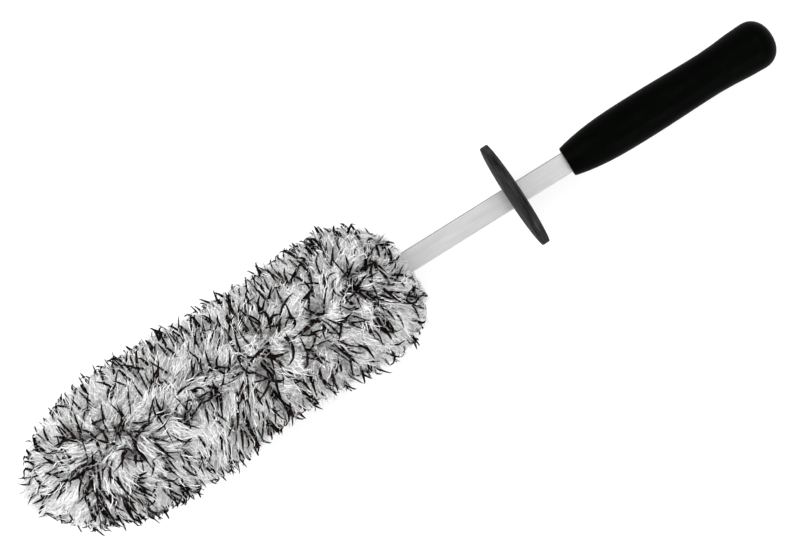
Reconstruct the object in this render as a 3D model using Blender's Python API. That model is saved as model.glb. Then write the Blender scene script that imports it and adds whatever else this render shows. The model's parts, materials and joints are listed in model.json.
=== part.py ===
"""Wheel brush: a plush head, a flat bar, a slide-on rubber guard and a soft grip.

The brush is drawn along its own axis, which runs along +X from the head's tip, at x = 0, to the
handle's butt. Every piece hangs from one empty, which lays the brush down on the plane z = 0, on
the rear shoulder of its pile and the flare of its butt, and centres it over the origin.
Lengths are in metres. An outline is a list of (x, radius) points.
"""

import math

import bmesh
import bpy
from mathutils import Vector

# Overall
OVERALL_LENGTH = 0.450
HEAD_LENGTH = 0.224
HANDLE_LENGTH = 0.125
GAP = 0.0003

# Bar
BAR_WIDTH = 0.0117
BAR_THICKNESS = 0.0040
BAR_EDGE = 0.0005
BAR_TIP_INSET = 0.022
BAR_BUTT_INSET = 0.018

# Plush head
PILE_FRONT_RADIUS = 0.0430
PILE_WAIST_RADIUS = 0.0395
PILE_REAR_RADIUS = 0.0420
PILE_MOUTH_RADIUS = 0.0260
PILE_TIP_ROUND = 0.040
PILE_NECK_ROUND = 0.024
PILE_SIDE_SET = 0.0018
PILE_PRESS = 0.0010
TUFT_ROW_PITCH = 0.0092
TUFT_ROW_THICKNESS = 0.0019
TIP_FAN = 0.014
NECK_FAN = 0.010
FAN_REACH = 0.045

# Core of the head
CORE_RADIUS = 0.0110
BACKING_THICKNESS = 0.0014
TIP_PATCH_DEPTH = 0.0153
TIP_CAP_LENGTH = 0.016
TIP_CAP_NOSE = 0.003
SEAM_THREAD_RADIUS = 0.0004

# Collar and tie at the neck
COLLAR_LENGTH = 0.016
COLLAR_INSET = 0.012
COLLAR_LIP = 0.004
TIE_GROOVE_DEPTH = 0.0018
TIE_GROOVE_WIDTH = 0.006
TIE_RADIUS = 0.0008
HEM_INSET = 0.0145

# Cross pins
PIN_RADIUS = 0.0015
PIN_RECESS = 0.0004
COLLAR_PIN_INSET = 0.003

# Guard
GUARD_RADIUS = 0.0300
GUARD_HUB_THICKNESS = 0.0082
GUARD_RIM_THICKNESS = 0.0036
GUARD_RIM_ROUND = 0.0009
GUARD_FROM_HANDLE = 0.032
GUARD_LEAN = math.radians(1.3)

# Handle
GRIP_FACE_LIP = 0.0017
GRIP_SWELL_RADIUS = 0.0122
GRIP_WAIST_RADIUS = 0.0116
GRIP_FLARE_RADIUS = 0.0132
GRIP_SWELL_AT = 0.046
GRIP_WAIST_AT = 0.086
BUTT_LENGTH = 0.0115
BUTT_SQUARENESS = 2.2
FACE_ROUND = 0.0009
HANDLE_CORE_WALL = 0.0017
HANDLE_CORE_INSET = 0.009
HANDLE_CORE_BUTT_INSET = 0.010
HANDLE_CORE_CHAMFER = 0.0008
FRONT_PIN_INSET = 0.012
REAR_PIN_INSET = 0.016

# Facets around a turned piece
HEAD_FACETS = 24
GUARD_FACETS = 48
GRIP_FACETS = 40
PIN_FACETS = 16
ARC_STEPS = 5

# Places that follow from the sizes above
HANDLE_FRONT = OVERALL_LENGTH - HANDLE_LENGTH
BAR_HOLE_RADIUS = math.hypot(BAR_WIDTH, BAR_THICKNESS) / 2 + GAP
BAR_TIP = BAR_TIP_INSET
BAR_BUTT = OVERALL_LENGTH - BAR_BUTT_INSET
GUARD_AT = HANDLE_FRONT - GUARD_FROM_HANDLE
BACKING_INNER = CORE_RADIUS + GAP
BACKING_OUTER = BACKING_INNER + BACKING_THICKNESS
TIP_PATCH_BACK = TIP_PATCH_DEPTH + BACKING_THICKNESS
TIP_CAP_FRONT = TIP_PATCH_BACK + GAP
TIP_CAP_BACK = TIP_CAP_FRONT + TIP_CAP_LENGTH
COLLAR_BACK = HEAD_LENGTH - COLLAR_INSET
COLLAR_FRONT = COLLAR_BACK - COLLAR_LENGTH
COLLAR_PIN_AT = COLLAR_FRONT + COLLAR_PIN_INSET
TIE_AT = COLLAR_BACK - COLLAR_LIP - TIE_GROOVE_WIDTH / 2
SLEEVE_FRONT = TIP_CAP_FRONT
SLEEVE_BACK = HEAD_LENGTH - HEM_INSET
GRIP_FACE_RADIUS = BAR_HOLE_RADIUS + GRIP_FACE_LIP
HANDLE_CORE_RADIUS = BAR_HOLE_RADIUS + HANDLE_CORE_WALL
CORE_FRONT = HANDLE_FRONT + HANDLE_CORE_INSET
CORE_BACK = OVERALL_LENGTH - HANDLE_CORE_BUTT_INSET
FRONT_PIN_AT = CORE_FRONT + FRONT_PIN_INSET
REAR_PIN_AT = BAR_BUTT - REAR_PIN_INSET


def eased(start, end, share):
    """A value between two others that leaves and arrives level."""
    return start + (end - start) * (1 - math.cos(math.pi * min(max(share, 0), 1))) / 2


def pile_radius(x):
    """Radius of the pile's outer surface at a station along the head."""
    belly = PILE_TIP_ROUND + (HEAD_LENGTH - PILE_TIP_ROUND) * 0.2
    shoulder = HEAD_LENGTH - PILE_NECK_ROUND
    waist = belly + (shoulder - belly) * 0.75
    if x < waist:
        body = eased(PILE_FRONT_RADIUS, PILE_WAIST_RADIUS, (x - belly) / (waist - belly))
    else:
        body = eased(PILE_WAIST_RADIUS, PILE_REAR_RADIUS, (x - waist) / (shoulder - waist))
    if x < PILE_TIP_ROUND:
        return body * math.sqrt(max(1 - (1 - x / PILE_TIP_ROUND) ** 2, 0))
    if x > shoulder:
        fall = math.sqrt(max(1 - ((x - shoulder) / PILE_NECK_ROUND) ** 2, 0))
        return PILE_MOUTH_RADIUS + (body - PILE_MOUTH_RADIUS) * fall
    return body


def grip_radius(x):
    """Radius of the soft grip at a distance from its front face."""
    flare_at = HANDLE_LENGTH - BUTT_LENGTH
    if x <= GRIP_SWELL_AT:
        rise = 1 - (1 - x / GRIP_SWELL_AT) ** 3
        return GRIP_FACE_RADIUS + (GRIP_SWELL_RADIUS - GRIP_FACE_RADIUS) * rise
    if x <= GRIP_WAIST_AT:
        share = (x - GRIP_SWELL_AT) / (GRIP_WAIST_AT - GRIP_SWELL_AT)
        return eased(GRIP_SWELL_RADIUS, GRIP_WAIST_RADIUS, share)
    if x <= flare_at:
        share = (x - GRIP_WAIST_AT) / (flare_at - GRIP_WAIST_AT)
        return eased(GRIP_WAIST_RADIUS, GRIP_FLARE_RADIUS, share)
    along = min((x - flare_at) / BUTT_LENGTH, 1)
    return GRIP_FLARE_RADIUS * (1 - along**BUTT_SQUARENESS) ** (1 / BUTT_SQUARENESS)


def floor_line():
    """Station and depth where the floor meets the pile's shoulder, and how fast the floor then
    nears the axis: the steepest line from there that clears both the guard and the handle."""
    shoulder = HEAD_LENGTH - PILE_NECK_ROUND
    depth = PILE_REAR_RADIUS - PILE_PRESS
    in_the_way = [(GUARD_AT + GUARD_RIM_THICKNESS / 2, GUARD_RADIUS)]
    for step in range(501):
        x = HANDLE_LENGTH * step / 500
        in_the_way.append((HANDLE_FRONT + x, grip_radius(x)))
    rise = min((depth - radius) / (x - shoulder) for x, radius in in_the_way)
    return shoulder, depth, rise


FLOOR_AT, FLOOR_DEPTH, FLOOR_RISE = floor_line()
LIE = math.atan(FLOOR_RISE)


def floor_depth(x):
    """How far below the axis the floor lies at a station."""
    return FLOOR_DEPTH - (x - FLOOR_AT) * FLOOR_RISE


def material(name, colour, roughness, metallic=0.0):
    made = bpy.data.materials.new(name)
    made.use_nodes = True
    shader = made.node_tree.nodes["Principled BSDF"]
    shader.inputs["Base Color"].default_value = (*colour, 1)
    shader.inputs["Roughness"].default_value = roughness
    shader.inputs["Metallic"].default_value = metallic
    return made


def add_object(bm, name, at, finish=None, smooth_below=35):
    """An object on the brush's axis, with its origin at the given station."""
    bmesh.ops.recalc_face_normals(bm, faces=bm.faces)
    mesh = bpy.data.meshes.new(name)
    bm.to_mesh(mesh)
    bm.free()
    mesh.shade_smooth()
    mesh.set_sharp_from_angle(angle=math.radians(smooth_below))
    obj = bpy.data.objects.new(name, mesh)
    obj.location = (at, 0, 0)
    obj.parent = brush
    bpy.context.collection.objects.link(obj)
    if finish:
        mesh.materials.append(finish)
    else:
        obj.hide_render = True
        obj.display_type = "WIRE"
    return obj


def turned(outline, at, facets=HEAD_FACETS):
    """A solid turned about the axis, with a facet square to the floor. The outline starts and
    ends on the axis, or goes round a ring."""
    bm = bmesh.new()
    across, up = math.cos(math.pi / facets), math.sin(math.pi / facets)
    points = [bm.verts.new((x - at, r * across, r * up)) for x, r in outline]
    ends = points[1:] if outline[0][1] == 0 else points[1:] + points[:1]
    edges = [bm.edges.new(pair) for pair in zip(points, ends)]
    bmesh.ops.spin(
        bm,
        geom=points + edges,
        axis=(1, 0, 0),
        cent=(0, 0, 0),
        angle=2 * math.pi,
        steps=facets,
        use_merge=True,
    )
    bmesh.ops.remove_doubles(bm, verts=bm.verts, dist=1e-6)
    return bm


def block(front, back, width, low, high):
    """A box along the axis, drawn from its own front end."""
    bm = bmesh.new()
    bmesh.ops.create_cube(bm, size=1)
    size = Vector((back - front, width, high - low))
    middle = Vector(((back - front) / 2, 0, (low + high) / 2))
    for vert in bm.verts:
        vert.co = vert.co * size + middle
    return bm


def peg(radius, half_length):
    """A round peg that stands across the axis, along Z."""
    bm = bmesh.new()
    bmesh.ops.create_cone(
        bm,
        cap_ends=True,
        segments=PIN_FACETS,
        radius1=radius,
        radius2=radius,
        depth=2 * half_length,
    )
    return bm


def cut(target, *cutters):
    for cutter in cutters:
        boolean = target.modifiers.new(cutter.name, "BOOLEAN")
        boolean.operation = "DIFFERENCE"
        boolean.solver = "EXACT"
        boolean.object = cutter


def ring_outline(at, radius, section_radius):
    """A closed round section, as eight points, for a thread or a binding."""
    return [
        (
            at + section_radius * math.cos(math.tau * step / 8),
            radius + section_radius * math.sin(math.tau * step / 8),
        )
        for step in range(8)
    ]


# ---- clearances shared by the pieces that fit on the bar ----


def bar_clearance():
    """The bar's own section and length, with the gap all round."""
    length = (BAR_TIP - GAP, BAR_BUTT + GAP)
    half_height = BAR_THICKNESS / 2 + GAP
    bm = block(*length, BAR_WIDTH + 2 * GAP, -half_height, half_height)
    return add_object(bm, "bar_clearance", BAR_TIP - GAP)


def pin_clearance(name, at):
    return add_object(peg(PIN_RADIUS + GAP, 2 * CORE_RADIUS), name, at)


def half_clearance(name, side):
    """The half of space that the other half of a split core fills."""
    far = 4 * CORE_RADIUS
    low, high = sorted((side * far, -side * GAP / 2))
    bm = block(-far, OVERALL_LENGTH + far, 2 * far, low, high)
    return add_object(bm, name, -far)


# ---- bar ----


def flat_bar():
    half = BAR_THICKNESS / 2
    bm = block(BAR_TIP, BAR_BUTT, BAR_WIDTH, -half, half)
    bmesh.ops.bevel(
        bm, geom=bm.edges[:], offset=BAR_EDGE, segments=2, profile=0.5, affect="EDGES"
    )
    obj = add_object(bm, "flat_bar", BAR_TIP, aluminium)
    cut(obj, collar_pin_hole, front_pin_hole, rear_pin_hole)


def cross_pin(name, at, half_length):
    add_object(peg(PIN_RADIUS, half_length - PIN_RECESS), name, at, pin_steel)


# ---- head ----


def bar_tip_cap():
    outline = [
        (TIP_CAP_FRONT, 0),
        (TIP_CAP_FRONT, CORE_RADIUS - TIP_CAP_NOSE),
        (TIP_CAP_FRONT + TIP_CAP_NOSE * 0.3, CORE_RADIUS - TIP_CAP_NOSE * 0.3),
        (TIP_CAP_FRONT + TIP_CAP_NOSE, CORE_RADIUS),
        (TIP_CAP_BACK, CORE_RADIUS),
        (TIP_CAP_BACK, 0),
    ]
    bm = turned(outline, TIP_CAP_FRONT)
    cut(add_object(bm, "bar_tip_cap", TIP_CAP_FRONT, black_rubber), bar_space)


def foam_core(name, other_half):
    front, back = TIP_CAP_BACK + GAP, COLLAR_FRONT - GAP
    outline = [(front, 0), (front, CORE_RADIUS), (back, CORE_RADIUS), (back, 0)]
    obj = add_object(turned(outline, front), name, front, grey_foam)
    cut(obj, bar_space, other_half)


def tuft_row(foot, foot_radius, tip, tip_radius, thickness):
    """The four corners of one row of tufts, from its rear foot round its tip to its front foot."""
    way = Vector((tip - foot, tip_radius - foot_radius)).normalized()
    side = Vector((way.y, -way.x)) * thickness / 2
    foot_half = thickness / 2 / way.y
    return [
        (foot + foot_half, foot_radius),
        (tip + side.x, tip_radius + side.y),
        (tip - side.x, tip_radius - side.y),
        (foot - foot_half, foot_radius),
    ]


def fanned(foot):
    """Station of a row's tip: upright in the middle, leaning out over the tip and the neck."""
    towards_tip = max(1 - (foot - SLEEVE_FRONT) / FAN_REACH, 0) ** 2 * TIP_FAN
    towards_neck = max(1 - (SLEEVE_BACK - foot) / FAN_REACH, 0) ** 2 * NECK_FAN
    return foot - towards_tip + towards_neck


def lay_pile(bm, at):
    """Set the pile a little to one side, and press it flat where it lies on the floor."""
    for vert in bm.verts:
        out = max(math.hypot(vert.co.y, vert.co.z) - BACKING_OUTER, 0)
        vert.co.y -= PILE_SIDE_SET * out / (PILE_FRONT_RADIUS - BACKING_OUTER)
        vert.co.z = max(vert.co.z, -floor_depth(vert.co.x + at))


def pile_sleeve():
    """A knitted tube that necks down into the collar's groove, with its pile in rows and a row
    on its hem that closes round the bar."""
    neck_inner = BACKING_INNER - TIE_GROOVE_DEPTH
    neck_outer = BACKING_OUTER - TIE_GROOVE_DEPTH
    groove = TIE_GROOVE_WIDTH / 2
    inside = [
        (SLEEVE_FRONT, BACKING_INNER),
        (TIE_AT - groove, BACKING_INNER),
        (TIE_AT - groove / 2, neck_inner),
        (TIE_AT + groove / 2, neck_inner),
        (TIE_AT + groove, BACKING_INNER),
        (SLEEVE_BACK, BACKING_INNER),
        (SLEEVE_BACK, BACKING_OUTER),
    ]
    hem = [
        (HEAD_LENGTH, PILE_MOUTH_RADIUS),
        (HEAD_LENGTH - TUFT_ROW_THICKNESS, PILE_MOUTH_RADIUS + TUFT_ROW_THICKNESS / 2),
    ]
    neck = [
        (TIE_AT + groove, BACKING_OUTER),
        (TIE_AT + groove / 2, neck_outer),
        (TIE_AT - groove / 2, neck_outer),
        (TIE_AT - groove, BACKING_OUTER),
    ]
    last_foot = TIE_AT - groove - 2 * TUFT_ROW_THICKNESS
    first_foot = SLEEVE_FRONT + 2 * TUFT_ROW_THICKNESS
    rows = round((last_foot - first_foot) / TUFT_ROW_PITCH)
    pile = []
    for row in range(rows, -1, -1):
        foot = first_foot + (last_foot - first_foot) * row / rows
        tip = fanned(foot)
        pile += tuft_row(
            foot, BACKING_OUTER, tip, pile_radius(tip), TUFT_ROW_THICKNESS
        )
    outline = inside + hem + neck + pile + [(SLEEVE_FRONT, BACKING_OUTER)]
    bm = turned(outline, SLEEVE_FRONT)
    lay_pile(bm, SLEEVE_FRONT)
    add_object(bm, "pile_sleeve", SLEEVE_FRONT, grey_pile)


def pile_tip_patch():
    """A round patch of plush across the tube's end, with a ring of tufts and a middle tuft."""
    ring_foot = BACKING_OUTER - 2 * TUFT_ROW_THICKNESS
    ring_tip = TUFT_ROW_THICKNESS
    way = Vector((ring_tip - TIP_PATCH_DEPTH, pile_radius(ring_tip) - ring_foot))
    side = Vector((-way.y, way.x)).normalized() * TUFT_ROW_THICKNESS / 2
    outline = [
        (TIP_PATCH_BACK, 0),
        (TIP_PATCH_BACK, BACKING_OUTER),
        (TIP_PATCH_DEPTH, BACKING_OUTER),
        (TIP_PATCH_DEPTH, ring_foot + TUFT_ROW_THICKNESS / 2),
        (ring_tip - side.x, pile_radius(ring_tip) - side.y),
        (ring_tip + side.x, pile_radius(ring_tip) + side.y),
        (TIP_PATCH_DEPTH, ring_foot - TUFT_ROW_THICKNESS / 2),
        (TIP_PATCH_DEPTH, TUFT_ROW_THICKNESS * 1.5),
        (0, TUFT_ROW_THICKNESS),
        (0, 0),
    ]
    bm = turned(outline, 0)
    lay_pile(bm, 0)
    add_object(bm, "pile_tip_patch", 0, grey_pile)


def tip_seam_thread():
    radius = BACKING_OUTER + GAP + SEAM_THREAD_RADIUS
    outline = ring_outline(SLEEVE_FRONT - GAP / 2, radius, SEAM_THREAD_RADIUS)
    bm = turned(outline, SLEEVE_FRONT)
    add_object(bm, "tip_seam_thread", SLEEVE_FRONT, thread_grey)


def neck_collar():
    bottom = CORE_RADIUS - TIE_GROOVE_DEPTH
    groove = TIE_GROOVE_WIDTH / 2
    outline = [
        (COLLAR_FRONT, 0),
        (COLLAR_FRONT, CORE_RADIUS),
        (TIE_AT - groove, CORE_RADIUS),
        (TIE_AT - groove / 2, bottom),
        (TIE_AT + groove / 2, bottom),
        (TIE_AT + groove, CORE_RADIUS),
        (COLLAR_BACK, CORE_RADIUS),
        (COLLAR_BACK, 0),
    ]
    bm = turned(outline, COLLAR_FRONT)
    obj = add_object(bm, "neck_collar", COLLAR_FRONT, dark_plastic)
    cut(obj, bar_space, collar_pin_hole)


def neck_tie():
    radius = BACKING_OUTER - TIE_GROOVE_DEPTH + GAP + TIE_RADIUS
    bm = turned(ring_outline(TIE_AT, radius, TIE_RADIUS), TIE_AT)
    add_object(bm, "neck_tie", TIE_AT, thread_grey)


# ---- guard ----


def guard_disc():
    """A rubber disc on the bar: crowned faces, thick at the hub, and a rounded rim."""
    rim = GUARD_RIM_THICKNESS / 2
    crown = GUARD_HUB_THICKNESS / 2 - rim
    corner = GUARD_RADIUS - GUARD_RIM_ROUND
    face = [
        (
            rim + crown * math.sqrt(1 - (corner / GUARD_RADIUS * out) ** 2),
            corner * out,
        )
        for out in (0, 0.25, 0.45, 0.62, 0.76, 0.87, 0.95, 1)
    ]
    edge_start = face[-1][0]
    edge = [
        (
            edge_start - GUARD_RIM_ROUND * (1 - math.cos(turn)),
            corner + GUARD_RIM_ROUND * math.sin(turn),
        )
        for turn in (math.pi / 2 * step / ARC_STEPS for step in range(1, ARC_STEPS + 1))
    ]
    half = face + edge
    outline = [(-x, r) for x, r in half] + half[::-1]
    bm = turned(outline, 0, GUARD_FACETS)
    obj = add_object(bm, "guard_disc", GUARD_AT, black_rubber)
    obj.rotation_euler.z = GUARD_LEAN
    cut(obj, bar_space)


# ---- handle ----


def handle_core_outline(clearance=0.0):
    chamfer = HANDLE_CORE_CHAMFER
    front, back = CORE_FRONT - clearance, CORE_BACK + clearance
    radius = HANDLE_CORE_RADIUS + clearance
    return [
        (front, 0),
        (front, radius - chamfer),
        (front + chamfer, radius),
        (back - chamfer, radius),
        (back, radius - chamfer),
        (back, 0),
    ]


def handle_core(name, other_half):
    bm = turned(handle_core_outline(), CORE_FRONT)
    obj = add_object(bm, name, CORE_FRONT, dark_plastic)
    cut(obj, bar_space, other_half, front_pin_hole, rear_pin_hole)


def handle_grip():
    """The soft grip: a flat front face, a palm swell, a waist and a flared, rounded butt."""
    face = [
        (
            FACE_ROUND * (1 - math.sin(turn)),
            grip_radius(FACE_ROUND) - FACE_ROUND * (1 - math.cos(turn)),
        )
        for turn in (math.pi / 2 * step / ARC_STEPS for step in range(ARC_STEPS, 0, -1))
    ]
    flare_at = HANDLE_LENGTH - BUTT_LENGTH
    body_steps = 16
    body = [
        FACE_ROUND + (flare_at - FACE_ROUND) * (step / body_steps) ** 1.3
        for step in range(body_steps + 1)
    ]
    butt = [
        flare_at + BUTT_LENGTH * math.sin(math.pi / 2 * step / 9) for step in range(1, 9)
    ]
    outline = [(0, 0)] + face + [(x, grip_radius(x)) for x in body + butt]
    outline.append((HANDLE_LENGTH, 0))
    bm = turned([(HANDLE_FRONT + x, r) for x, r in outline], HANDLE_FRONT, GRIP_FACETS)
    cavity = turned(handle_core_outline(GAP), CORE_FRONT)
    obj = add_object(bm, "handle_grip", HANDLE_FRONT, black_grip)
    cut(obj, add_object(cavity, "handle_core_clearance", CORE_FRONT), bar_space)


def lie_down():
    """Lay the brush on z = 0 and centre its outer box over the origin."""
    brush.rotation_euler.y = LIE
    brush.location.z = math.cos(LIE) * (FLOOR_DEPTH + FLOOR_AT * FLOOR_RISE)
    bpy.context.view_layer.update()
    shapes = bpy.context.evaluated_depsgraph_get()
    corners = [
        obj.matrix_world @ vert.co
        for obj in bpy.data.objects
        if obj.type == "MESH" and not obj.hide_render
        for vert in obj.evaluated_get(shapes).data.vertices
    ]
    for axis in (0, 1):
        values = [corner[axis] for corner in corners]
        brush.location[axis] -= (min(values) + max(values)) / 2


for leftover in list(bpy.data.objects):
    bpy.data.objects.remove(leftover, do_unlink=True)

brush = bpy.data.objects.new("brush", None)
bpy.context.collection.objects.link(brush)

aluminium = material("satin_aluminium", (0.72, 0.72, 0.71), 0.38, 1.0)
pin_steel = material("pin_steel", (0.55, 0.55, 0.54), 0.35, 1.0)
black_rubber = material("guard_rubber", (0.022, 0.021, 0.021), 0.75)
black_grip = material("grip_rubber", (0.004, 0.005, 0.004), 0.55)
dark_plastic = material("core_plastic", (0.03, 0.03, 0.032), 0.5)
grey_foam = material("core_foam", (0.30, 0.30, 0.31), 0.9)
grey_pile = material("grey_pile", (0.55, 0.55, 0.54), 0.95)
thread_grey = material("thread", (0.50, 0.50, 0.49), 0.8)

bar_space = bar_clearance()
collar_pin_hole = pin_clearance("collar_pin_clearance", COLLAR_PIN_AT)
front_pin_hole = pin_clearance("front_pin_clearance", FRONT_PIN_AT)
rear_pin_hole = pin_clearance("rear_pin_clearance", REAR_PIN_AT)
lower_half = half_clearance("lower_half_clearance", -1)
upper_half = half_clearance("upper_half_clearance", 1)

flat_bar()
bar_tip_cap()
foam_core("foam_core_upper", lower_half)
foam_core("foam_core_lower", upper_half)
pile_sleeve()
pile_tip_patch()
tip_seam_thread()
neck_collar()
cross_pin("neck_collar_pin", COLLAR_PIN_AT, CORE_RADIUS)
neck_tie()
guard_disc()
handle_core("handle_core_upper", lower_half)
handle_core("handle_core_lower", upper_half)
cross_pin("handle_pin_front", FRONT_PIN_AT, HANDLE_CORE_RADIUS)
cross_pin("handle_pin_rear", REAR_PIN_AT, HANDLE_CORE_RADIUS)
handle_grip()
lie_down()
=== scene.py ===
"""Wheel brush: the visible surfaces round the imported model.

The plush head is drawn strand by strand, in place of the CAD's plain rows of tufts. The bar, guard,
grip and inner pieces are the CAD nodes with procedural materials. Brush space has X along the brush
from the head's tip, Y across it, and Z square to the bar's flat. Lengths are in metres.
"""

import json
import math

import bmesh
import bpy
import numpy as np
from mathutils import Matrix, Vector
from mathutils.kdtree import KDTree


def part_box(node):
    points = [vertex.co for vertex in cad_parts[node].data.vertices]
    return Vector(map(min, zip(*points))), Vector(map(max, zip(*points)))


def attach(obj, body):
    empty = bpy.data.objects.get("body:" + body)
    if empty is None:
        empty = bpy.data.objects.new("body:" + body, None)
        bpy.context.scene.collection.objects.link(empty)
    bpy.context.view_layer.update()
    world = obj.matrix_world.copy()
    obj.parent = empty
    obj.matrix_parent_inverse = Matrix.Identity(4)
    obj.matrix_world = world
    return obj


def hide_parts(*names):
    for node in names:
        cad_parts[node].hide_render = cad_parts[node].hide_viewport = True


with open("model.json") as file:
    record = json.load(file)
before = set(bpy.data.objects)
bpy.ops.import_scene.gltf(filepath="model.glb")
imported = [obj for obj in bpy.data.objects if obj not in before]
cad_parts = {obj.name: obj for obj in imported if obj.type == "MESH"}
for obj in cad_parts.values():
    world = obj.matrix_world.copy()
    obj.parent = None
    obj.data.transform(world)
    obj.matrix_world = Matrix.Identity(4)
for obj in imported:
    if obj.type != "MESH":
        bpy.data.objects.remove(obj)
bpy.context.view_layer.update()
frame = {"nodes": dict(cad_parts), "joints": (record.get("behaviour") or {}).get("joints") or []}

# The brush in its own space, as the CAD has it
BRUSH_LENGTH = 0.450
HEAD_LENGTH = 0.224
BAR_TIP = 0.022
BAR_BUTT = 0.432
BAR_HALF_WIDTH = 0.00585
# Painted shade on the bar's long edges: where it starts and where it is full, measured from the
# bar's middle
BAR_EDGE_SHADE_FROM = 0.0006
BAR_EDGE_SHADE_FULL = 0.0003
BACKING_RADIUS = 0.0142
BACKING_FRONT = 0.0150
SLEEVE_BACK = 0.2095

# Outline of the dense pile, which single strands stand out past
FRONT_RADIUS = 0.0366
WAIST_RADIUS = 0.0330
REAR_RADIUS = 0.0348
MOUTH_RADIUS = 0.0150
TIP_ROUND = 0.064
NECK_ROUND = 0.032
BELLY_SHARE = 0.13
WAIST_SHARE = 0.45
SIDE_SET = 0.0027
SIDE_SET_REAR = 0.0008
SIDE_SET_FROM = 0.100
SIDE_SET_TO = 0.130
MOUTH_SINK = 0.0080
NECK_SKEW_FROM = 0.175
NECK_SKEW = 0.0032
NECK_DRAW = 0.0030
BAR_OPENING = 0.0055
PROFILE_STEPS = 120
OUTLINE_START = 0.0008

# Where the pile gives way: the floor, and the guard at its front stop
FLOOR_SOFTNESS = 0.004
LOWEST_POINT = 0.0001
REAR_LIMIT = 0.2280
REAR_SOFTNESS = 0.0025

# Foot of the pile: a shell round the core
SHELL_TIP = 0.0075
SHELL_FRONT = 0.010
SHELL_SHARE = 0.70
SHELL_STATIONS = 70
SHELL_FACETS = 96
SHELL_HEM = 0.003
SHELL_HEM_WALL = 0.001
SHELL_LUMP = 0.05
SHELL_LUMP_SIZE = 0.012
SHELL_LUMP_SEED = 3

# Locks: their number, how far each leans, and where the tip and the neck turn them
CLUMPS = 620
LOCK_REACH = (0.006, 0.014)
LOCK_LEAN = 0.9
SWIRL_SIZE = 0.09
SWIRL_SEED = 11
SWIRL_SPREAD = 0.7
TIP_FAN = 1.6
TIP_FAN_FROM = 0.050
TIP_FAN_OVER = 0.045
NECK_FAN = 1.3
NECK_FAN_FROM = 0.190
NECK_FAN_OVER = 0.030
UPRIGHT_AT_SIDES = 0.75

# Pale strands. A margin is how far a strand may stand out past the outline; where two numbers draw
# one, they are a gamma distribution's shape and scale.
LIGHT_STRANDS = 66000
LIGHT_PIECES = 12
LIGHT_POINTS = 7
LIGHT_SIDES = 3
LIGHT_DEPTH = (0.010, 0.014)
LIGHT_RADIUS = (0.00024, 0.00042)
LIGHT_STRAY = 0.0022
LIGHT_SWAY = (0.6, 1.3)
LIGHT_GATHER = (0.25, 0.7)
LIGHT_CURL = (0.0004, 0.0014)
LIGHT_CURL_TURN = 7.5
LIGHT_RISE = 1.8
PROUD_SHARE = 0.25
PROUD_MARGIN = (2.0, 0.0014)
LONGEST_LOCK = 0.0060
ROUGHNESS_MARGIN = 0.0006
LUMP_HEIGHT = 0.0012
LUMP_SIZE = 0.022
LUMP_SEED = 5

# Dark strands; lengths and tilts are the least, the likeliest and the most
DARK_STRANDS = 1600
DARK_POINTS = 9
DARK_SIDES = 5
DARK_LENGTH = (0.010, 0.017, 0.026)
DARK_TILT = (25, 60, 85)
DARK_TILT_CHANGE = 0.35
DARK_RADIUS = (0.00050, 0.00102)
DARK_ROOT_DEPTH = 0.48
DARK_SWING = 0.55
DARK_OUTWARD = 0.8
HOOKED_SHARE = 0.16
HOOKED_SWING = 3.2
DARK_LEAST_MARGIN = 0.0022
DARK_MARGIN = (2.4, 0.0016)
DARK_LIFT = 0.0008

# Fine strands
FUZZ_STRANDS = 14000
FUZZ_PIECES = 2
FUZZ_POINTS = 6
FUZZ_SIDES = 3
FUZZ_LENGTH = (0.0075, 0.016)
FUZZ_RADIUS = (0.00010, 0.00016)
FUZZ_ROOT_SHARE = 0.55
FUZZ_MARGIN = (2.2, 0.0020)
LONGEST_MARGIN = 0.0090

# Shades of the strands: the darkest, the palest, and the share of them that painted shade leaves at
# the root
SHADE_CELLS = 8
LIGHT_SHADES = (0.82, 1.0, 0.90)
DARK_SHADES = ((0.002, 0.0018, 0.0018), (0.010, 0.0055, 0.0048), 0.8)
FUZZ_SHADES = (0.52, 0.86, 0.85)

# Strip of the UV map that a strand's shade keeps to, and the share of its length that V covers
UV_EDGE = 0.2
UV_WIDTH = 0.6
UV_START = 0.02
UV_LENGTH = 0.96

# Studio
FLOOR_HALF = 6
FLOOR_DROP = 0.0002
FLOOR_WHITE = 0.42
FLOOR_GLOW = 0.64
WORLD_LIGHT = 0.88
WORLD_SEEN = 1.0
CAMERA_SLANT = math.radians(32.0)
CAMERA_LENS = 250
CAMERA_SENSOR = 36
CAMERA_REACH = 50
VIEW_WIDTH = 0.4147
VIEW_LEFT = 0.0018
VIEW_DOWN = 0.0060

# Each lamp's name, place, aim, side and power
LAMPS = (
    ("key", (-0.9, 0.5, 1.2), (0, 0, 0.03), 1.4, 24),
    ("low", (0.35, -1.25, 0.75), (0.15, 0, 0.03), 0.7, 7),
    ("fill", (0.9, 0.2, 1.3), (0, 0, 0.03), 1.2, 9),
)

ALONG = Vector(frame["joints"][0]["axis"]).normalized()
ACROSS = Vector((0, 1, 0))
UP = ALONG.cross(ACROSS)
bar_low, bar_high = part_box("flat_bar")
ORIGIN = (bar_low + bar_high) / 2 - ALONG * (BAR_TIP + BAR_BUTT) / 2
TURN = np.array([ALONG, ACROSS, UP])
LIE = math.atan2(-ALONG.z, ALONG.x)

rng = np.random.default_rng(7)


def to_world(points):
    """Points of brush space, in an array whose last axis is X, Y, Z, as world points."""
    return points @ TURN + np.array(ORIGIN)


def eased(start, end, share):
    return start + (end - start) * (1 - np.cos(math.pi * np.clip(share, 0, 1))) / 2


def smooth_step(share):
    share = np.clip(share, 0, 1)
    return share * share * (3 - 2 * share)


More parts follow.
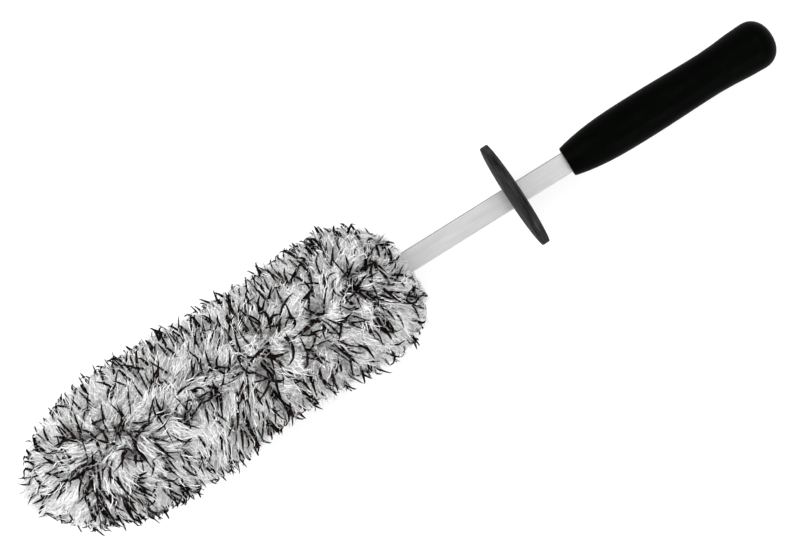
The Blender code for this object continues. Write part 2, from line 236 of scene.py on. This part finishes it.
def pile_radius(x):
    """Radius of the pile's envelope at stations along the head, closed over the bar at the neck."""
    belly = TIP_ROUND + (HEAD_LENGTH - TIP_ROUND) * BELLY_SHARE
    shoulder = HEAD_LENGTH - NECK_ROUND
    waist = belly + (shoulder - belly) * WAIST_SHARE
    front = eased(FRONT_RADIUS, WAIST_RADIUS, (x - belly) / (waist - belly))
    rear = eased(WAIST_RADIUS, REAR_RADIUS, (x - waist) / (shoulder - waist))
    body = np.where(x < waist, front, rear)
    tip = np.sqrt(np.clip(1 - (1 - np.clip(x / TIP_ROUND, 0, 1)) ** 2, 0, 1))
    fall = np.sqrt(np.clip(1 - np.clip((x - shoulder) / NECK_ROUND, 0, 1) ** 2, 0, 1))
    neck = MOUTH_RADIUS + (body - MOUTH_RADIUS) * fall
    return np.where(x < shoulder, body * tip, neck)


def profile():
    """The pile's outline from the tip to the rear, where it turns in and sinks towards the bar.
    Stations crowd where it turns."""
    ends = [0, TIP_ROUND, HEAD_LENGTH - NECK_ROUND, HEAD_LENGTH]
    x = []
    for start, end in zip(ends, ends[1:]):
        turn = np.linspace(0, math.pi, PROFILE_STEPS, endpoint=False)
        x.append(start + (end - start) * (1 - np.cos(turn)) / 2)
    x = np.append(np.concatenate(x), HEAD_LENGTH)
    inward = np.linspace(0, 1, PROFILE_STEPS)[1:]
    rear_x = HEAD_LENGTH - MOUTH_SINK * smooth_step(inward)
    rear_r = MOUTH_RADIUS + (BAR_OPENING - MOUTH_RADIUS) * inward
    return np.append(x, rear_x), np.append(pile_radius(x), rear_r)


PROFILE_X, PROFILE_R = profile()


def envelope_points(count):
    """Random points spread evenly over the envelope, with the two tangents and the normal."""
    dx, dr = np.diff(PROFILE_X), np.diff(PROFILE_R)
    length = np.hypot(dx, dr)
    area = length * (PROFILE_R[1:] + PROFILE_R[:-1]) / 2
    piece = rng.choice(len(area), count, p=area / area.sum())
    share = rng.random(count)
    angle = rng.random(count) * math.tau
    x = PROFILE_X[piece] + dx[piece] * share
    r = PROFILE_R[piece] + dr[piece] * share
    slope_x, slope_r = dx[piece] / length[piece], dr[piece] / length[piece]
    c, s = np.cos(angle), np.sin(angle)
    point = np.stack([x, r * c, r * s], 1)
    rearward = np.stack([slope_x, slope_r * c, slope_r * s], 1)
    around = np.stack([np.zeros(count), -s, c], 1)
    normal = np.stack([-slope_r, slope_x * c, slope_x * s], 1)
    return point, rearward, around, normal


def lay_down(points):
    """Set the pile to one side, draw its rear end in askew, and press it softly on the floor and
    against the guard at its front stop."""
    out = np.hypot(points[..., 1], points[..., 2])
    rear = smooth_step((points[..., 0] - NECK_SKEW_FROM) / (HEAD_LENGTH - NECK_SKEW_FROM))
    points[..., 0] -= rear * (NECK_DRAW + NECK_SKEW * points[..., 1] / REAR_RADIUS)
    firm = REAR_LIMIT - REAR_SOFTNESS
    past = np.maximum(points[..., 0] - firm, 0)
    points[..., 0] = np.minimum(points[..., 0], firm) + REAR_SOFTNESS * (
        1 - np.exp(-past / REAR_SOFTNESS)
    )
    back = smooth_step((points[..., 0] - SIDE_SET_FROM) / (SIDE_SET_TO - SIDE_SET_FROM))
    aside = SIDE_SET + (SIDE_SET_REAR - SIDE_SET) * back
    points[..., 1] -= aside * np.clip(out / FRONT_RADIUS, 0, 1)
    world = to_world(points)
    height = world[..., 2]
    pressed = FLOOR_SOFTNESS * np.exp(np.minimum(height / FLOOR_SOFTNESS - 1, 0))
    world[..., 2] = np.where(height < FLOOR_SOFTNESS, pressed, height)
    return world


def lumps(points, size, seed, count=6):
    """Smooth bumps, mostly from -1 to 1: a few waves with random directions."""
    waves = np.random.default_rng(seed)
    total = np.zeros(points.shape[:-1])
    for _ in range(count):
        way = waves.normal(size=3)
        way *= math.tau / size / np.linalg.norm(way) * waves.uniform(0.6, 1.4)
        total += np.sin(points @ way + waves.random() * math.tau)
    return total * 2 / count


def splay(normal, way, most=1.0):
    """Leans that follow the pile's weight: strands on top and below fall outwards, towards the side
    that they are on, and those on the two sides stand straight out."""
    side = normal[:, 1:2]
    outward = np.array([[0.0, 1.0, 0.0]]) * np.sign(side) * np.sqrt(np.abs(side))
    outward = outward - normal * np.sum(outward * normal, 1)[:, None]
    return way * (1 - UPRIGHT_AT_SIDES * side**2) + outward * most


def held_in(path, margin):
    """Keep each point of the strands within a margin, the strand's own, of the pile's outline."""
    radius = np.hypot(path[..., 1], path[..., 2])
    top = pile_radius(np.clip(path[..., 0], OUTLINE_START, HEAD_LENGTH)) + margin
    shrink = np.minimum(top / np.maximum(radius, 1e-6), 1)
    path[..., 1] *= shrink
    path[..., 2] *= shrink
    return path


def strand_mesh(name, path, width, shade, sides, look):
    """One object of tapered tubes along the paths. A strand's column in the UV map is its shade, and
    V runs from its root to its tip. width holds a radius for each point of each strand."""
    count, points = path.shape[:2]
    world = lay_down(path)
    way = np.gradient(world, axis=1)
    way /= np.maximum(np.linalg.norm(way, axis=2, keepdims=True), 1e-9)
    spin = rng.normal(size=(count, 1, 3))
    side = np.cross(way, spin)
    side /= np.maximum(np.linalg.norm(side, axis=2, keepdims=True), 1e-9)
    other = np.cross(way, side)
    rings = points - 1
    verts = np.empty((count, rings * sides + 1, 3))
    for k in range(sides):
        turn = math.tau * k / sides
        ring = side * math.cos(turn) + other * math.sin(turn)
        verts[:, k : rings * sides : sides] = (world + ring * width[..., None])[:, :rings]
    verts[:, -1] = world[:, -1]
    verts[..., 2] = np.maximum(verts[..., 2], LOWEST_POINT)

    quads, quad_uv = [], []
    for j in range(rings - 1):
        for k in range(sides):
            a, b = j * sides + k, j * sides + (k + 1) % sides
            quads.append((a, b, b + sides, a + sides))
            quad_uv += [(k, j), (k + 1, j), (k + 1, j + 1), (k, j + 1)]
    tips, tip_uv = [], []
    last, point = (rings - 1) * sides, rings * sides
    for k in range(sides):
        tips.append((last + k, last + (k + 1) % sides, point))
        tip_uv += [(k, rings - 1), (k + 1, rings - 1), (k + 0.5, rings)]
    # The root's cap, whose corners stay apart in the map
    for k in range(1, sides - 1):
        tips.append((0, k + 1, k))
        tip_uv += [(0, 0), (k + 1, 0.3), (k, 0.1)]
    per_strand = rings * sides + 1
    corners = np.array([v for face in quads + tips for v in face])
    starts = np.append(np.arange(len(quads)) * 4, len(quads) * 4 + np.arange(len(tips)) * 3)
    loops = (corners[None] + np.arange(count)[:, None] * per_strand).ravel()
    first = (starts[None] + np.arange(count)[:, None] * len(corners)).ravel()

    mesh = bpy.data.meshes.new(name)
    mesh.vertices.add(count * per_strand)
    mesh.vertices.foreach_set("co", verts.astype(np.float32).ravel())
    mesh.loops.add(len(loops))
    mesh.loops.foreach_set("vertex_index", loops.astype(np.int32))
    mesh.polygons.add(len(first))
    mesh.polygons.foreach_set("loop_start", first.astype(np.int32))
    mesh.update(calc_edges=True)
    mesh.shade_smooth()

    cell = np.array(quad_uv + tip_uv, float)
    u = (shade[:, None] + UV_EDGE + UV_WIDTH * cell[None, :, 0] / sides) / SHADE_CELLS
    v = np.broadcast_to(UV_START + UV_LENGTH * cell[None, :, 1] / rings, u.shape)
    layer = mesh.uv_layers.new(name="OFBake")
    layer.data.foreach_set("uv", np.stack([u, v], 2).astype(np.float32).ravel())
    mesh.materials.append(look)
    obj = bpy.data.objects.new(name, mesh)
    bpy.context.collection.objects.link(obj)
    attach(obj, "brush")


def strand_meshes(names, path, width, shade, sides, look):
    """The strands dealt out in turn over several objects."""
    order = np.arange(len(path)) % len(names)
    for piece, name in enumerate(names):
        part = order == piece
        strand_mesh(name, path[part], width[part], shade[part], sides, look)


# ---- materials ----


class Look:
    """A Principled material and short names for the nodes that drive it."""

    def __init__(self, name, roughness, metallic=0.0, **sockets):
        self.material = bpy.data.materials.new(name)
        self.material.use_nodes = True
        self.tree = self.material.node_tree
        self.shader = self.tree.nodes["Principled BSDF"]
        self.shader.inputs["Roughness"].default_value = roughness
        self.shader.inputs["Metallic"].default_value = metallic
        for socket, value in sockets.items():
            self.shader.inputs[socket.replace("_", " ")].default_value = value

    def node(self, kind, inputs=(), **settings):
        made = self.tree.nodes.new("ShaderNode" + kind)
        for key, value in settings.items():
            setattr(made, key, value)
        for socket, value in dict(inputs).items():
            if isinstance(value, bpy.types.NodeSocket):
                self.tree.links.new(value, made.inputs[socket])
            else:
                made.inputs[socket].default_value = value
        return made

    def drive(self, socket, value):
        self.tree.links.new(value, self.shader.inputs[socket])

    def brush_space(self):
        """The point in brush space, turned back from how the brush lies."""
        space = self.node("TexCoord").outputs["Object"]
        moved = self.node("VectorMath", {0: space, 1: ORIGIN}, operation="SUBTRACT")
        laid = self.node(
            "VectorRotate",
            {"Vector": moved.outputs[0], "Axis": ACROSS, "Angle": -LIE},
            rotation_type="AXIS_ANGLE",
        )
        return laid.outputs[0]

    def across(self):
        """Distance from the brush's middle plane."""
        parts = self.node("SeparateXYZ", {"Vector": self.brush_space()}).outputs
        return self.node("Math", {0: parts["Y"]}, operation="ABSOLUTE").outputs[0]

    def noise(self, scale, stretch=(1, 1, 1), detail=4, roughness=0.55):
        """Noise in brush space, finer along an axis with a larger stretch."""
        scaled = self.node("VectorMath", {0: self.brush_space(), 1: stretch}, operation="MULTIPLY")
        made = self.node(
            "TexNoise",
            {"Vector": scaled.outputs[0], "Scale": scale, "Detail": detail, "Roughness": roughness},
        )
        return made.outputs["Fac"]

    def ramp(self, value, *stops):
        made = self.node("ValToRGB", {"Fac": value})
        marks = made.color_ramp.elements
        while len(marks) < len(stops):
            marks.new(0.5)
        for mark, (at, colour) in zip(marks, stops):
            mark.position = at
            mark.color = (*(colour if isinstance(colour, tuple) else (colour,) * 3), 1)
        return made.outputs["Color"]

    def times(self, first, second):
        """Two colours multiplied."""
        sockets = {"Factor": 1.0, 6: first, 7: second}
        return self.node("Mix", sockets, data_type="RGBA", blend_type="MULTIPLY").outputs[2]

    def map_range(self, value, low, high, to_low, to_high):
        made = self.node(
            "MapRange",
            {"Value": value, "From Min": low, "From Max": high, "To Min": to_low, "To Max": to_high},
        )
        return made.outputs["Result"]

    def bump(self, height, strength, distance):
        made = self.node("Bump", {"Height": height, "Strength": strength, "Distance": distance})
        self.drive("Normal", made.outputs["Normal"])


def pile_look(name, low, high, root_shade, specular=0.3):
    """Microfibre whose strands differ in shade, with painted shade that darkens them towards the
    root, deep in the pile. The shade is U, the length V.
    """
    look = Look(name, 0.8, Specular_IOR_Level=specular)
    spot = look.node("UVMap", uv_map="OFBake").outputs["UV"]
    parts = look.node("SeparateXYZ", {"Vector": spot}).outputs
    cell = look.node("Math", {0: parts["X"], 1: float(SHADE_CELLS)}, operation="MULTIPLY")
    step = look.node("Math", {0: cell.outputs[0]}, operation="FLOOR")
    share = look.map_range(step.outputs[0], 0, SHADE_CELLS - 1, 0, 1)
    shade = look.ramp(share, (0, low), (1, high))
    # Painted shade: each strand darker towards its root, deep in the pile
    depth = look.ramp(parts["Y"], (0, root_shade), (0.55, 1.0))
    look.drive("Base Color", look.times(shade, depth))
    return look.material


def shaded_backing_look():
    look = Look("pile_backing", 0.9)
    tone = look.noise(900, detail=3)
    # Painted shade: this grey is darker than the strands, for the shade deep in the pile; the noise
    # mottles it at random
    look.drive("Base Color", look.ramp(tone, (0.3, 0.50), (0.7, 0.70)))
    look.bump(look.noise(1400), 0.6, 0.0005)
    return look.material


def bar_look():
    """Satin aluminium with a fine lengthwise grain, and painted shade that darkens its long edges.
    """
    look = Look("satin_aluminium", 0.34, 1.0)
    grain = look.noise(2200, stretch=(0.018, 1, 1), detail=6)
    cloud = look.noise(90, stretch=(0.5, 1, 1), detail=3)
    tone = look.ramp(cloud, (0.3, 0.40), (0.7, 0.45))
    # Painted shade: the bar's colour darkens towards its long edges
    start, full = BAR_HALF_WIDTH - BAR_EDGE_SHADE_FROM, BAR_HALF_WIDTH - BAR_EDGE_SHADE_FULL
    edge_shade = look.map_range(look.across(), start, full, 1, 0.72)
    lines = look.ramp(grain, (0.3, 0.88), (0.7, 1.04))
    look.drive("Base Color", look.times(look.times(tone, lines), edge_shade))
    look.drive("Roughness", look.map_range(grain, 0.3, 0.7, 0.30, 0.42))
    look.bump(grain, 0.10, 0.0002)
    return look.material


def guard_look():
    """Dark grey rubber with fine streaks parallel to the disc and dusty patches."""
    look = Look("guard_rubber", 0.7, Specular_IOR_Level=0.04)
    streaks = look.noise(620, stretch=(1.6, 0.10, 0.10), detail=5, roughness=0.7)
    dust = look.noise(120, detail=4)
    tone = look.ramp(dust, (0.35, (0.014, 0.0135, 0.0135)), (0.75, (0.025, 0.0235, 0.0232)))
    lines = look.ramp(streaks, (0.36, 0.12), (0.66, 1.85))
    look.drive("Base Color", look.times(tone, lines))
    look.drive("Roughness", look.map_range(dust, 0.3, 0.7, 0.58, 0.78))
    look.bump(streaks, 0.5, 0.0004)
    return look.material


def grip_look():
    """Near-black soft rubber: fine pebbling, and faint scuffs that are a little less rough."""
    look = Look("grip_rubber", 0.4, Specular_IOR_Level=0.012)
    pebble = look.noise(2600, detail=3)
    scuff = look.noise(70, stretch=(1, 2.5, 2.5), detail=5, roughness=0.65)
    tone = look.ramp(scuff, (0.4, (0.0002, 0.0004, 0.0002)), (0.8, (0.0010, 0.0015, 0.0010)))
    look.drive("Base Color", tone)
    look.drive("Roughness", look.map_range(scuff, 0.35, 0.75, 0.46, 0.34))
    look.bump(pebble, 0.12, 0.0002)
    return look.material


def plain_look(name, colour, roughness, scale, metallic=0.0):
    """A hidden or small piece: its colour, mottled with a slightly darker one, and a fine bump."""
    look = Look(name, roughness, metallic)
    tone = look.noise(scale)
    darker = tuple(c * 0.85 for c in colour)
    look.drive("Base Color", look.ramp(tone, (0.35, darker), (0.65, colour)))
    look.bump(tone, 0.15, 0.0002)
    return look.material


def finish_nodes():
    """Give every CAD node that stays its material."""
    foam = plain_look("core_foam", (0.26, 0.26, 0.27), 0.9, 1500)
    plastic = plain_look("core_plastic", (0.027, 0.027, 0.030), 0.5, 900)
    thread = plain_look("thread", (0.44, 0.44, 0.43), 0.85, 2500)
    steel = plain_look("pin_steel", (0.46, 0.46, 0.45), 0.35, 1200, 1.0)
    looks = {
        "flat_bar": bar_look(),
        "guard_disc": guard_look(),
        "handle_grip": grip_look(),
        "bar_tip_cap": plain_look("cap_rubber", (0.018, 0.018, 0.018), 0.7, 800),
        "foam_core_upper": foam,
        "foam_core_lower": foam,
        "tip_seam_thread": thread,
        "neck_tie": thread,
        "neck_collar": plastic,
        "handle_core_upper": plastic,
        "handle_core_lower": plastic,
        "neck_collar_pin": steel,
        "handle_pin_front": steel,
        "handle_pin_rear": steel,
    }
    for name, material in looks.items():
        node = frame["nodes"][name]
        for used in node.material_slots:
            used.material = material


# ---- the plush head ----


def pile_backing():
    """The dense foot of the pile: a lumpy closed shell round the core, open to the bar behind."""
    stations = np.linspace(SHELL_FRONT, SLEEVE_BACK, SHELL_STATIONS)
    outline = [(SHELL_TIP, 0.0)]
    outline += [(x, float(pile_radius(np.array(x))) * SHELL_SHARE) for x in stations]
    outline += [(SLEEVE_BACK + SHELL_HEM, BACKING_RADIUS + SHELL_HEM_WALL)]
    outline += [(SLEEVE_BACK, BACKING_RADIUS), (BACKING_FRONT, BACKING_RADIUS)]
    outline += [(BACKING_FRONT, 0.0)]
    turn = np.linspace(0, math.tau, SHELL_FACETS, endpoint=False)
    bm = bmesh.new()
    rows = []
    for x, r in outline:
        if r == 0:
            point = lay_down(np.array([[x, 0.0, 0.0]]))[0]
            rows.append([bm.verts.new(point)] * SHELL_FACETS)
            continue
        ring = np.stack([np.full(SHELL_FACETS, x), r * np.cos(turn), r * np.sin(turn)], 1)
        if r > BACKING_RADIUS * 1.2:
            bumps = lumps(ring, SHELL_LUMP_SIZE, SHELL_LUMP_SEED)
            ring[:, 1:] *= 1 + SHELL_LUMP * bumps[:, None]
        rows.append([bm.verts.new(point) for point in lay_down(ring)])
    for low, high in zip(rows, rows[1:]):
        for k in range(SHELL_FACETS):
            j = (k + 1) % SHELL_FACETS
            corners = [low[k], low[j], high[j], high[k]]
            bm.faces.new(list(dict.fromkeys(corners)))
    bmesh.ops.recalc_face_normals(bm, faces=bm.faces)
    mesh = bpy.data.meshes.new("pile_backing")
    bm.to_mesh(mesh)
    bm.free()
    mesh.shade_smooth()
    mesh.materials.append(shaded_backing_look())
    obj = bpy.data.objects.new("pile_backing", mesh)
    bpy.context.collection.objects.link(obj)
    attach(obj, "brush")
    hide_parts("pile_sleeve", "pile_tip_patch")


def clump_field():
    """Centres of the locks that the pile lies in, and the way and length that each one leans."""
    point, rearward, around, normal = envelope_points(CLUMPS)
    x = point[:, 0]
    swirl = lumps(point, SWIRL_SIZE, SWIRL_SEED) * math.pi + rng.normal(0, SWIRL_SPREAD, CLUMPS)
    over_tip = smooth_step((TIP_FAN_FROM - x) / TIP_FAN_OVER)
    over_neck = smooth_step((x - NECK_FAN_FROM) / NECK_FAN_OVER)
    lean_x = np.cos(swirl) * LOCK_LEAN - over_tip * TIP_FAN + over_neck * NECK_FAN
    lean_y = np.sin(swirl) * LOCK_LEAN
    reach = rng.uniform(*LOCK_REACH, CLUMPS)
    lean = rearward * lean_x[:, None] + around * lean_y[:, None]
    lean = splay(normal, lean)
    lean /= np.maximum(np.linalg.norm(lean, axis=1, keepdims=True), 1.0)
    tree = KDTree(CLUMPS)
    for index, co in enumerate(point):
        tree.insert(co, index)
    tree.balance()
    return point, lean, reach, tree


def nearest(tree, points):
    return np.array([tree.find(p)[1] for p in points])


def light_pile(clumps):
    """Fine pale strands, gathered into locks that lean over one another."""
    centre, lean, reach, tree = clumps
    count = LIGHT_STRANDS
    point, _, _, normal = envelope_points(count)
    mine = nearest(tree, point)
    depth = rng.uniform(*LIGHT_DEPTH, count)
    stray = rng.normal(0, LIGHT_STRAY, (count, 3))
    sideways = lean[mine] * reach[mine][:, None] * rng.uniform(*LIGHT_SWAY, count)[:, None]
    gather = (centre[mine] - point) * rng.uniform(*LIGHT_GATHER, count)[:, None]
    curl = np.cross(normal, rng.normal(size=(count, 3)))
    curl *= rng.uniform(*LIGHT_CURL, count)[:, None]
    phase = rng.random(count) * math.tau
    t = np.linspace(0, 1, LIGHT_POINTS)
    path = np.empty((count, len(t), 3))
    for j, s in enumerate(t):
        rise = 1 - (1 - s) ** LIGHT_RISE
        wave = np.sin(phase + s * LIGHT_CURL_TURN) * s
        path[:, j] = (
            point
            - normal * (depth * (1 - rise))[:, None]
            + (sideways + gather + stray) * s**1.5
            + curl * wave[:, None]
        )
    proud = np.where(rng.random(count) < PROUD_SHARE, rng.gamma(*PROUD_MARGIN, count), 0)
    proud = np.minimum(proud, LONGEST_LOCK)
    path += normal[:, None] * (proud[:, None] * t)[..., None]
    margin = proud + LUMP_HEIGHT * lumps(point, LUMP_SIZE, LUMP_SEED)
    margin += rng.uniform(-ROUGHNESS_MARGIN, ROUGHNESS_MARGIN, count)
    path = held_in(path, margin[:, None])
    radius = rng.uniform(*LIGHT_RADIUS, count)
    taper = np.interp(t, [0, 0.6, 1], [1.0, 0.85, 0.25])
    shade = rng.integers(0, SHADE_CELLS, count)
    look = pile_look("pile_light", *LIGHT_SHADES)
    names = [f"pile_light_{piece + 1:02d}" for piece in range(LIGHT_PIECES)]
    strand_meshes(names, path, radius[:, None] * taper, shade, LIGHT_SIDES, look)


def dark_pile(clumps):
    """Thick dark strands on the pale ones: curved, hooked at times, and pointed at both ends."""
    _, lean, _, tree = clumps
    count = DARK_STRANDS
    point, _, _, normal = envelope_points(count)
    mine = nearest(tree, point)
    length = rng.triangular(*DARK_LENGTH, count)
    tilt = np.radians(rng.triangular(*DARK_TILT, count))
    tilt *= 1 - 0.5 * normal[:, 1] ** 2
    drift = lean[mine] * 0.8 + np.cross(normal, rng.normal(size=(count, 3))) * 0.6
    drift = splay(normal, drift, DARK_OUTWARD)
    drift -= normal * np.sum(drift * normal, 1)[:, None]
    drift /= np.maximum(np.linalg.norm(drift, axis=1, keepdims=True), 1e-6)
    swing = rng.normal(0, DARK_SWING, count)
    hooked = rng.random(count) < HOOKED_SHARE
    swing[hooked] *= HOOKED_SWING
    binormal = np.cross(normal, drift)
    t = np.linspace(0, 1, DARK_POINTS)
    path = np.empty((count, len(t), 3))
    here = point - normal * (length * np.cos(tilt) * DARK_ROOT_DEPTH)[:, None]
    here = here - drift * (length * np.sin(tilt) / 2)[:, None]
    for j, s in enumerate(t):
        path[:, j] = here
        turn = swing * (s - 0.4)
        flat = drift * np.cos(turn)[:, None] + binormal * np.sin(turn)[:, None]
        angle = tilt + DARK_TILT_CHANGE * (s - 0.5)
        way = flat * np.sin(angle)[:, None] + normal * np.cos(angle)[:, None]
        here = here + way * (length / (len(t) - 1))[:, None]
    margin = np.minimum(DARK_LEAST_MARGIN + rng.gamma(*DARK_MARGIN, count), LONGEST_MARGIN)
    path = held_in(path, margin[:, None] * np.sqrt(t))
    lift = np.sin(t * math.pi)[None, :, None] * DARK_LIFT
    path = path + normal[:, None] * lift
    radius = rng.uniform(*DARK_RADIUS, count)
    taper = np.interp(t, [0, 0.15, 0.5, 0.85, 1], [0.45, 0.85, 1.0, 0.5, 0.06])
    shade = rng.integers(0, SHADE_CELLS, count)
    look = pile_look("pile_dark", *DARK_SHADES, specular=0.01)
    strand_mesh("pile_dark", path, radius[:, None] * taper, shade, DARK_SIDES, look)


def fuzz_pile():
    """A thin halo of the finest fibres that stand out past the locks."""
    count = FUZZ_STRANDS
    point, _, _, normal = envelope_points(count)
    length = rng.uniform(*FUZZ_LENGTH, count)
    stray = np.cross(normal, rng.normal(size=(count, 3))) * 0.6
    bend = np.cross(normal, rng.normal(size=(count, 3))) * 0.5
    t = np.linspace(0, 1, FUZZ_POINTS)
    path = np.empty((count, len(t), 3))
    for j, s in enumerate(t):
        way = normal * (s - FUZZ_ROOT_SHARE) + stray * s + bend * s * s * 0.5
        path[:, j] = point + way * length[:, None]
    margin = np.minimum(rng.gamma(*FUZZ_MARGIN, count), LONGEST_MARGIN)
    path = held_in(path, margin[:, None])
    radius = rng.uniform(*FUZZ_RADIUS, count)
    taper = np.interp(t, [0, 0.6, 1], [1.0, 0.8, 0.3])
    shade = rng.integers(0, SHADE_CELLS, count)
    look = pile_look("pile_fuzz", *FUZZ_SHADES)
    names = [f"pile_fuzz_{piece + 1}" for piece in range(FUZZ_PIECES)]
    strand_meshes(names, path, radius[:, None] * taper, shade, FUZZ_SIDES, look)


# ---- studio ----


def floor_and_world():
    """White paper that keeps a soft shadow, under an even white sky."""
    bm = bmesh.new()
    bmesh.ops.create_grid(bm, x_segments=1, y_segments=1, size=FLOOR_HALF)
    mesh = bpy.data.meshes.new("floor")
    bm.to_mesh(mesh)
    bm.free()
    floor = bpy.data.objects.new("floor", mesh)
    floor.location.z = -FLOOR_DROP
    bpy.context.collection.objects.link(floor)
    paper = bpy.data.materials.new("white_paper")
    paper.use_nodes = True
    tree = paper.node_tree
    tree.nodes.clear()
    out = tree.nodes.new("ShaderNodeOutputMaterial")
    both = tree.nodes.new("ShaderNodeAddShader")
    matte = tree.nodes.new("ShaderNodeBsdfDiffuse")
    matte.inputs["Color"].default_value = (FLOOR_WHITE, FLOOR_WHITE, FLOOR_WHITE, 1)
    glow = tree.nodes.new("ShaderNodeEmission")
    seen = seen_directly(tree)
    scaled = tree.nodes.new("ShaderNodeMath")
    scaled.operation = "MULTIPLY"
    scaled.inputs[1].default_value = FLOOR_GLOW
    tree.links.new(seen, scaled.inputs[0])
    tree.links.new(scaled.outputs[0], glow.inputs["Strength"])
    tree.links.new(matte.outputs[0], both.inputs[0])
    tree.links.new(glow.outputs[0], both.inputs[1])
    tree.links.new(both.outputs[0], out.inputs["Surface"])
    mesh.materials.append(paper)

    world = bpy.data.worlds.new("studio")
    bpy.context.scene.world = world
    world.use_nodes = True
    tree = world.node_tree
    background = tree.nodes["Background"]
    background.inputs["Color"].default_value = (1, 1, 1, 1)
    seen = seen_directly(tree)
    level = tree.nodes.new("ShaderNodeMapRange")
    level.inputs["To Min"].default_value = WORLD_LIGHT
    level.inputs["To Max"].default_value = WORLD_SEEN
    tree.links.new(seen, level.inputs["Value"])
    tree.links.new(level.outputs[0], background.inputs["Strength"])


def seen_directly(tree):
    """1 for camera, glossy and transmission rays, 0 for the rest."""
    path = tree.nodes.new("ShaderNodeLightPath")
    first = tree.nodes.new("ShaderNodeMath")
    second = tree.nodes.new("ShaderNodeMath")
    first.operation = second.operation = "MAXIMUM"
    tree.links.new(path.outputs["Is Camera Ray"], first.inputs[0])
    tree.links.new(path.outputs["Is Glossy Ray"], first.inputs[1])
    tree.links.new(first.outputs[0], second.inputs[0])
    tree.links.new(path.outputs["Is Transmission Ray"], second.inputs[1])
    return second.outputs[0]


def soft_lamp(name, at, aim, size, power):
    lamp = bpy.data.lights.new(name, "AREA")
    lamp.shape = "SQUARE"
    lamp.size = size
    lamp.energy = power
    obj = bpy.data.objects.new(name, lamp)
    obj.location = at
    obj.rotation_euler = (Vector(aim) - Vector(at)).to_track_quat("-Z", "Y").to_euler()
    bpy.context.collection.objects.link(obj)


def camera():
    """Square on to the brush's flat, turned so that the brush rises to the right."""
    distance = VIEW_WIDTH * CAMERA_LENS / CAMERA_SENSOR
    cos, sin = math.cos(CAMERA_SLANT), math.sin(CAMERA_SLANT)
    right = ALONG * cos - ACROSS * sin
    upward = ALONG * sin + ACROSS * cos
    target = ORIGIN + ALONG * BRUSH_LENGTH / 2 - right * VIEW_LEFT - upward * VIEW_DOWN
    made = bpy.data.cameras.new("camera")
    made.lens = CAMERA_LENS
    made.sensor_width = CAMERA_SENSOR
    made.clip_end = CAMERA_REACH
    obj = bpy.data.objects.new("camera", made)
    turn = Matrix((right, upward, UP)).transposed().to_4x4()
    obj.matrix_world = Matrix.Translation(target + UP * distance) @ turn
    bpy.context.collection.objects.link(obj)
    bpy.context.scene.camera = obj


camera()
bpy.context.scene.view_settings.view_transform = "Standard"
floor_and_world()
for lamp in LAMPS:
    soft_lamp(*lamp)

finish_nodes()
pile_backing()
locks = clump_field()
light_pile(locks)
dark_pile(locks)
fuzz_pile()
